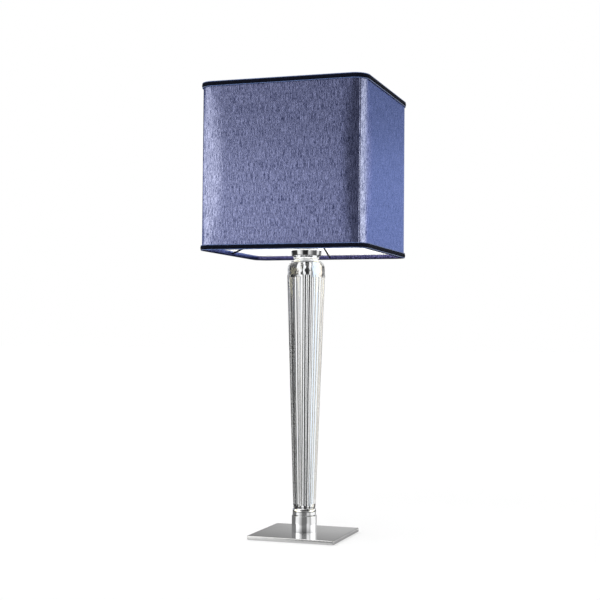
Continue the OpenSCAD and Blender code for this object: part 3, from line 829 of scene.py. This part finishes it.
def slack_outline(along, end, start, power):
    """The cloth's outline halfway up: it bellies out a little and bends away sooner to the seam."""
    share = max(0, along - start) / (side_half + shade_corner_r * end - start)
    seam_x, seam_y = (side_half + ridge_r * reach for reach in (math.sin(end), math.cos(end)))
    return Vector((
        min(along, start) + (seam_x - start) * share,
        -shade_half - swell + (shade_half + swell - seam_y) * share ** power))


def cloth_girth(along, height):
    """A point on the cloth's outer face and the way out from it."""
    rise = min(1, max(0, (height - lining_low.z) / (lining_high.z - lining_low.z)))
    way = math.copysign(1, along)
    end, start, power = (seam_turn, soft_start, soft_power) if along > 0 else (
        math.pi / 2 - seam_turn, left_soft_start, left_soft_power)
    slack = math.sin(math.pi * rise) ** (1 - slack_skew * way * min(1, abs(along) / start))
    edge = side_half + shade_corner_r * end
    step = 0.2 * mm
    before, at, after = (
        taut_outline(place, end).lerp(slack_outline(place, end, start, power), slack)
        for place in (abs(along) - step, abs(along), min(abs(along) + step, edge)))
    onward = (after - before).normalized()
    outwards = Vector((onward.y, -onward.x))
    if abs(along) > edge - step:
        outwards = Vector((math.sin(end), -math.cos(end))) / math.cos(ridge_half)
    return Vector((way * at.x, at.y)), Vector((way * outwards.x, outwards.y))


def weave_map(bm):
    """Keeps the flat cloth's own coordinates, in metres, as a UV map."""
    layer = bm.loops.layers.uv.new("weave")
    for face in bm.faces:
        for loop in face.loops:
            loop[layer].uv = (loop.vert.co.x, loop.vert.co.z)


def woven_at(tree):
    """The place on the flat cloth that a weave goes by."""
    node = tree.nodes.new("ShaderNodeUVMap")
    node.uv_map = "weave"
    return node.outputs["UV"]


def sewn(node, name, strip, finish, thickness, offset=-1, **place):
    """Adds a cloth of the shade, with its thickness inwards unless the offset says otherwise."""
    piece = dress(node, name, strip, finish, body="shade", flat_faces=False, **place)
    cloth = piece.modifiers.new("cloth", "SOLIDIFY")
    cloth.thickness = thickness
    cloth.offset = offset
    return piece


def heights(low, high, steps):
    """Even heights between two levels."""
    return [low + (high - low) * i / steps for i in range(steps + 1)]


cotton, cotton_tree, cotton_shader = new_finish("lining", (0.9, 0.9, 0.89), 0.85, sheen_weight=0.15)
cotton_at = woven_at(cotton_tree)
surface(cotton_shader, noise_in(cotton_at, 1500, 2, 0.6), 0.35, 0.1 * mm,
    base_color=tinted(noise_in(cotton_at, 40, 3), (0.86, 0.86, 0.85), (0.93, 0.93, 0.92)))
lining_in = shade_half - lining_high.x
lining_t = 0.6 * mm
lining_steps = 30
lining_sheet = straight_strip([(-lining_in, z) for z in heights(lining_low.z, lining_high.z, lining_steps)],
    stations(lining_steps, seam_turn), closed=False)
weave_map(lining_sheet)
round_shade(lining_sheet, cloth_girth)
shade_lining = sewn("lining", "shade_lining", lining_sheet, cotton, lining_t)

# Fabric panels
# Four panels of blue satin, one on each side, backed and stretched over the loops.
# They meet in an upright seam on each rounded corner, a little before its middle.
slub, slub_in, slub_out = new_effect(
    "slub", {"Threads": 1500.0, "Streaks": 1200.0, "Length": 55.0},
    {"Shade": "Float", "Height": "Float", "Speckle": "Float"})
slub_at = woven_at(slub)
slub_length = 225
thread_length = 150
speckle_across, speckle_length = 760, 300


def stretched_noise(across, down, roughness):
    """Noise on the cloth's own map, drawn out along its upright threads."""
    scale = slub.nodes.new("ShaderNodeCombineXYZ")
    feed(scale.inputs["X"], across)
    feed(scale.inputs["Y"], down)
    drawn = arithmetic("VectorMath", "MULTIPLY", slub_at, scale.outputs["Vector"])
    return noise_in(drawn, 1.0, 2, roughness)


slub_mix = slub.nodes.new("ShaderNodeMix")
slub_mix.inputs["Factor"].default_value = 0.5
feed(slub_mix.inputs["A"], stretched_noise(slub_in["Streaks"], slub_in["Length"], 0.6))
feed(slub_mix.inputs["B"], stretched_noise(slub_in["Threads"], slub_length, 0.6))
slub_streaks = slub_mix.outputs["Result"]
slub_threads = stretched_noise(slub_in["Threads"], thread_length, 0.7)
feed(slub_out["Height"], arithmetic("Math", "ADD", slub_streaks, slub_threads))
feed(slub_out["Shade"], slub_streaks)
feed(slub_out["Speckle"], stretched_noise(speckle_across, speckle_length, 0.75))


def satin_cloth(name, dark, light):
    """Satin: blue cloth with a bright, metallic face of upright threads, some of them thicker."""
    material, tree, shader = new_finish(name, light, 0.3, metallic=0.93, specular_tint=(0.5, 0.62, 1.0, 1))
    threads = use_effect(tree, slub)
    surface(shader, threads["Height"], 0.42, 0.12 * mm,
        base_color=tinted(spread(threads["Shade"], 0, 1, 0.4, 0.6), dark, light),
        roughness=spread(threads["Speckle"], 0.22, 0.32))
    return material


satin = satin_cloth("satin", (0.02, 0.028, 0.1), (0.365, 0.4, 0.72))
fabric_t = 0.8 * mm
cloth_steps = 60
for k, panel_node in enumerate(("fabric_front", "fabric_right", "fabric_back", "fabric_left")):
    cloth = straight_strip(
        [(0, z) for z in heights(fabric_low.z, fabric_high.z, cloth_steps)], stations(80, seam_turn), closed=False)
    weave_map(cloth)
    wrap_round(cloth, cloth_girth)
    bmesh.ops.rotate(cloth, cent=(0, 0, 0), matrix=Matrix.Rotation(k * math.pi / 2, 3, "Z"), verts=cloth.verts)
    panel = sewn(panel_node, panel_node.replace("fabric", "satin_panel"), cloth, satin, fabric_t)

# Hems
# Strips of the same satin, folded round the bottom and the top loop and glued inside the shade.
# The arms come out of the bottom one through small slits.
# The hems' satin is a much darker copy of the panels' satin: painted shade for the inside of the shade and the fold's
# underside.
painted_shade_hem_finish = satin_cloth("hem_satin_painted_shade", (0.03, 0.03, 0.085), (0.1, 0.095, 0.22))
hem_low, hem_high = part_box("hem_bottom")
hem_h = hem_high.z - hem_low.z
hem_t = 0.6 * mm
hem_clear = 0.1 * mm
hem_leg_in = wire_in + wire_r + hem_clear
fold_r = 1.2 * mm
fold = [(-lining_in, hem_t), (-lining_in, hem_t * 0.2), (-lining_in - 0.4 * mm, 0)]
fold += arc(-hem_leg_in - hem_t + fold_r, fold_r, fold_r, fold_r, -90, -180, 6)
fold += [(-hem_leg_in - hem_t, hem_h * 0.6), (-hem_leg_in - hem_t, hem_h)]
for hem_node, hem_name, hem_z, hem_way in (
        ("hem_bottom", "hem_under", hem_low.z, 1), ("hem_top", "hem_over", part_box("hem_top")[1].z, -1)):
    hem = straight_strip([(out, hem_z + hem_way * up) for out, up in fold], stations(60), closed=False)
    weave_map(hem)
    round_shade(hem)
    if hem_way > 0:
        bmesh.ops.reverse_faces(hem, faces=hem.faces)
    folded_hem = sewn(hem_node, hem_name, hem, painted_shade_hem_finish, hem_t, 0, slot="satin")

# Velvet trims
# Half-round velvet piping, glued over the panels' edges at the bottom and the top,
# with a fine twisted blue cord sewn along each side of it.
velvet, velvet_tree, velvet_shader = new_finish(
    "velvet", (0.002, 0.003, 0.011), 0.75, sheen_weight=0.08, sheen_roughness=0.3,
    sheen_tint=(0.06, 0.1, 0.3, 1), specular_ior_level=0.08)
velvet_pile = use_effect(velvet_tree, pile, size=4.0, clump=3.0)
surface(velvet_shader, velvet_pile["Height"], 0.9, 0.5 * mm,
    base_color=tinted(velvet_pile["Shade"], (0.0012, 0.0018, 0.005), (0.004, 0.006, 0.018)))

trim_low, trim_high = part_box("trim_bottom")
trim_h = trim_high.z - trim_low.z
trim_out = -shade_half - trim_low.y
trim_gap = 0.1 * mm
edging_r = 0.65 * mm
edging_out = 1.5 * mm
edging, edging_tree, edging_shader = new_finish("edging_cord", (0.07, 0.13, 0.36), 0.5, sheen_weight=0.3)
# The cord's colour runs from dark to bright blue in beads along it: painted highlights and shade of its twisted
# strands.
edging_beads = noise_in(coordinates(edging_tree), 900, 1, 0.5)
edging_painted_glints = spread(edging_beads, 0, 1, 0.35, 0.65)
surface(edging_shader, edging_beads, 1.0, 0.6 * mm,
    base_color=tinted(edging_painted_glints, (0.03, 0.05, 0.16), (0.14, 0.24, 0.55)))
for trim_node, trim_name in (("trim_bottom", "velvet_trim_bottom"), ("trim_top", "velvet_trim_top")):
    trim_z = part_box(trim_node)[0].z + trim_h / 2
    piping = straight_strip(arc(trim_gap, trim_z, trim_out - trim_gap, trim_h / 2, -90, 90, 16), stations(60))
    piped = len(piping.faces)
    for cord_z in (trim_z - trim_h / 2 + edging_r, trim_z + trim_h / 2 - edging_r):
        straight_strip(round_section(edging_out, cord_z, edging_r, 8), stations(60), into=piping)
    piping.faces.ensure_lookup_table()
    for face in piping.faces[piped:]:
        face.material_index = 1
    round_shade(piping)
    trim = dress(trim_node, trim_name, piping, velvet, edging, body="shade", flat_faces=False)

# Studio
# A plain pale floor and soft light from all round. The room's sides are bright at the left,
# the right and the back, and dark in front at the right: that gives the metal, the glass
# and the satin their light and dark bands. A straight look at the room or the floor sees white.
bands, bands_in, bands_out = new_effect("studio_sides", {"Direction": None},
    {"Metal": "Color", "Glass": "Color", "Cloth": "Color", "Cup": "Color", "Neck": "Color"})
bands_way = parts_of(bands_in["Direction"])
bands_turn = arithmetic(
    "Math", "ARCTAN2", bands_way["X"], arithmetic("Math", "MULTIPLY", bands_way["Y"], -1))
bands_share = spread(bands_turn, 0, 1, -math.pi, math.pi)
walls_scale = 4
high_colour = 0.3
paling = (0.15, 0.3)


def sides(output, stops, lift=None):
    """The room's brightness by side: an angle in degrees, 0 in front and 90 at the right, and a grey or colour.

    A lift by height scales it, and the colours pale with height."""
    ramp = bands.nodes.new("ShaderNodeValToRGB")
    ramp.color_ramp.interpolation = "EASE"
    while len(ramp.color_ramp.elements) < len(stops):
        ramp.color_ramp.elements.new(0.5)
    for element, (angle, colour) in zip(ramp.color_ramp.elements, stops):
        colour = colour if isinstance(colour, tuple) else (colour, colour, colour)
        element.position = (angle + 180) / 360
        element.color = (*(value / walls_scale for value in colour), 1)
    feed(ramp.inputs["Fac"], bands_share)
    look = ramp.outputs["Color"]
    if lift:
        paler = bands.nodes.new("ShaderNodeHueSaturation")
        feed(paler.inputs["Saturation"], spread(bands_way["Z"], 1.0, high_colour, *paling))
        feed(paler.inputs["Color"], look)
        look = paler.outputs["Color"]
    feed(bands_out[output], arithmetic("VectorMath", "SCALE", look, Scale=lift or walls_scale))


left_warm = (3.0, 2.85, 2.15)
left_pale = (0.35, 0.38, 0.48)
right_warm = (3.3, 3.2, 2.3)
low_walls = 1.14
high_walls = 0.26
high_right_walls = 0.62
walls_fade = (0.148, 0.171)
right_walls_start = (0.9, 0.93)
sides("Metal", [
    (-180, 0.45), (-165, 0.18), (-70, 0.18), (-58, 1.05), (-36, 1.05), (-24, 0.75), (-11, 0.5), (2, 0.18),
    (39, 0.18), (43, 0.65), (55, 0.72), (74, 0.5), (80, 0.75), (86, 1.1), (137, 1.1), (150, 0.45), (180, 0.45)])
sides("Glass", [
    (-180, 1.1), (-160, 1.1), (-157, 0.1), (-150, 0.1), (-147, (0.9, 1.05, 1.2)), (-118, (1.15, 1.05, 0.9)),
    (-112, 0.03), (-66, 0.03), (-60, 1.2), (-4, 1.2), (2, 0.02), (88, 0.02), (94, 1.15), (132, 1.15), (137, 0.03),
    (176, 0.03), (180, 1.1)])
sides("Cup", [
    (-180, 0.2), (-122, 0.2), (-108, 0.03), (-60, 0.04), (-50, 0.95), (-36, 1.05), (-22, 0.7), (-13, 0.4), (-7, 0.03),
    (27, 0.02), (36, 0.7), (48, 0.65), (60, 0.33), (74, 0.12), (98, 0.1), (107, 0.5), (116, 1.1), (126, 0.8),
    (140, 0.1), (160, 0.3), (180, 0.2)])
sides("Neck", [
    (-180, 0.3), (-130, 0.3), (-112, 1.0), (-44, 1.0), (-30, 0.5), (-15, 0.5), (-5, 0.38), (31, 0.38), (49, 0.65),
    (78, 0.65), (89, 1.0), (113, 1.0), (127, 0.6), (144, 0.6), (160, 0.3)])
sides("Cloth", [
    (-180, 0.8), (-170, 0.7), (-164, 0.68), (-158, 0.42), (-151, 0.42), (-146, left_pale), (-96, left_pale),
    (-88, left_warm), (-30, left_warm), (-24, 1.1), (-18, 0.9), (-6, 0.3), (0, 0.2), (54, 0.2), (72, 0.8),
    (82, right_warm), (114, right_warm), (132, 1.45), (150, 1.08), (163, 0.74)],
    spread(bands_way["Z"], low_walls * walls_scale,
        spread(bands_share, high_walls * walls_scale, high_right_walls * walls_scale, *right_walls_start),
        *walls_fade))


def seen_by(tree, *rays):
    """1 for a ray of one of these kinds, else 0."""
    path = tree.nodes.new("ShaderNodeLightPath")
    value = path.outputs[rays[0]]
    for ray in rays[1:]:
        value = arithmetic("Math", "MAXIMUM", value, path.outputs[ray])
    return value


def above(value, limit):
    """1 where a value is above the limit, else 0."""
    return arithmetic("Math", "GREATER_THAN", value, limit)


def mixed_looks(factor, first, second):
    """A shader between two."""
    mix = factor.id_data.nodes.new("ShaderNodeMixShader")
    for socket, value in zip(mix.inputs, (factor, first, second)):
        feed(socket, value)
    return mix.outputs["Shader"]


room_light = 0.75
few_bounces = 2.5
deep_low, deep_high = 1.7, 0.4
deep_fade = (0.25, 0.35)
world = bpy.data.worlds.new("studio")
scene.world = world
world.use_nodes = True
room = world.node_tree
room_way = coordinates(room, "Generated")
room_sides = use_effect(room, bands, direction=room_way)
room_deep = arithmetic("VectorMath", "SCALE", room_sides["Metal"],
    Scale=spread(parts_of(room_way)["Z"], deep_low, deep_high, *deep_fade))
room_mirrored = tinted(above(seen_by(room, "Ray Depth"), few_bounces), room_sides["Cloth"], room_deep)
room_seen = tinted(seen_by(room, "Is Glossy Ray"), room_light, room_mirrored)
room_seen = tinted(seen_by(room, "Is Transmission Ray"), room_seen, room_sides["Glass"])
room_seen = tinted(seen_by(room, "Is Camera Ray"), room_seen, 1.0)
feed(room.nodes["Background"].inputs["Color"], room_seen)

# The floor is matt and nearly white. The metal sees the room's sides in it. Away from the foot, the cup
# and the neck see sides of their own: those of the part of a mirror, at the cup, that would throw the
# camera's first line of sight to that place on the floor. They stay there in every other view.
floor_size = 60
floor_colour = 0.9
floor_seen_colour = 1.0
shadow_share = 0.5
near_half = 0.1
near_right = 0.0745
near_light = 0.62
near_dim = 0.35
ring_dim = 0.08
ring_start = 0.4
cup_low_tilt, cup_high_tilt = (-math.sin(math.radians(tilt)) for tilt in (14, 5))
floor_finish = bpy.data.materials.new("studio_floor")
floor_finish.use_nodes = True
ground = floor_finish.node_tree
ground.nodes.remove(ground.nodes["Principled BSDF"])
ground_at = coordinates(ground)
ground_sides = use_effect(ground, bands, direction=ground_at)
ground_place = parts_of(ground_at)
near_reach = arithmetic("Math", "MAXIMUM", *(arithmetic("Math", "ABSOLUTE", ground_place[axis]) for axis in "XY"))
ground_near = tinted(above(ground_place["X"], near_right), near_light, near_dim)
ground_mirrored = tinted(above(near_reach, near_half), ground_near, ground_sides["Metal"])

cup_middle = Vector((0, 0, (cup_low.z + cup_high.z) / 2))
look_at_cup = (cup_middle - camera.matrix_world.translation).normalized()
mirror_way = arithmetic("VectorMath", "NORMALIZE", arithmetic("VectorMath", "SUBTRACT", ground_at, cup_middle))
mirror_way = arithmetic("VectorMath", "NORMALIZE", arithmetic("VectorMath", "SUBTRACT", mirror_way, look_at_cup))
mirror_tilt = parts_of(mirror_way)["Z"]
ring_look = tinted(above(mirror_tilt, cup_low_tilt), ring_dim, ground_sides["Cup"])
ring_look = tinted(above(mirror_tilt, cup_high_tilt), ring_look, ground_sides["Neck"])
ring_reach = arithmetic("VectorMath", "LENGTH", ground_at)
ground_mirrored = tinted(above(ring_reach, ring_start), ground_mirrored, ring_look)

ground_seen = seen_by(ground, "Is Camera Ray")
ground_matt = ground.nodes.new("ShaderNodeBsdfDiffuse")
feed(ground_matt.inputs["Color"], tinted(ground_seen, floor_colour, floor_seen_colour))
ground_white = ground.nodes.new("ShaderNodeEmission")
ground_metal = ground.nodes.new("ShaderNodeEmission")
feed(ground_metal.inputs["Color"],
    tinted(seen_by(ground, "Is Transmission Ray"), ground_mirrored, ground_sides["Glass"]))
ground_look = mixed_looks(arithmetic("Math", "MULTIPLY", ground_seen, 1 - shadow_share),
    ground_matt.outputs["BSDF"], ground_white.outputs["Emission"])
ground_look = mixed_looks(seen_by(ground, "Is Glossy Ray", "Is Transmission Ray"),
    ground_look, ground_metal.outputs["Emission"])
feed(ground.nodes["Material Output"].inputs["Surface"], ground_look)
floor_mesh = bmesh.new()
bmesh.ops.create_grid(floor_mesh, x_segments=1, y_segments=1, size=floor_size / 2)
floor = add_piece("studio_floor", floor_mesh, floor_finish, flat_faces=False)

shade_light_z = 0.66
inside = bpy.data.lights.new("shade_light", "POINT")
inside.energy = 1.2
inside.shadow_soft_size = 0.03
inside_held = hold("shade_light", inside)
inside_held.location = (0, 0, shade_light_z)
inside_held.visible_glossy = False
inside_held.visible_transmission = False

sky_way = Vector((0.35, 0.5, -1.0))
sky = bpy.data.lights.new("sky_light", "SUN")
sky.energy = 1.05
sky.angle = math.radians(70)
sky_held = hold("sky_light", sky)
sky_held.rotation_euler = sky_way.to_track_quat("-Z", "Y").to_euler()
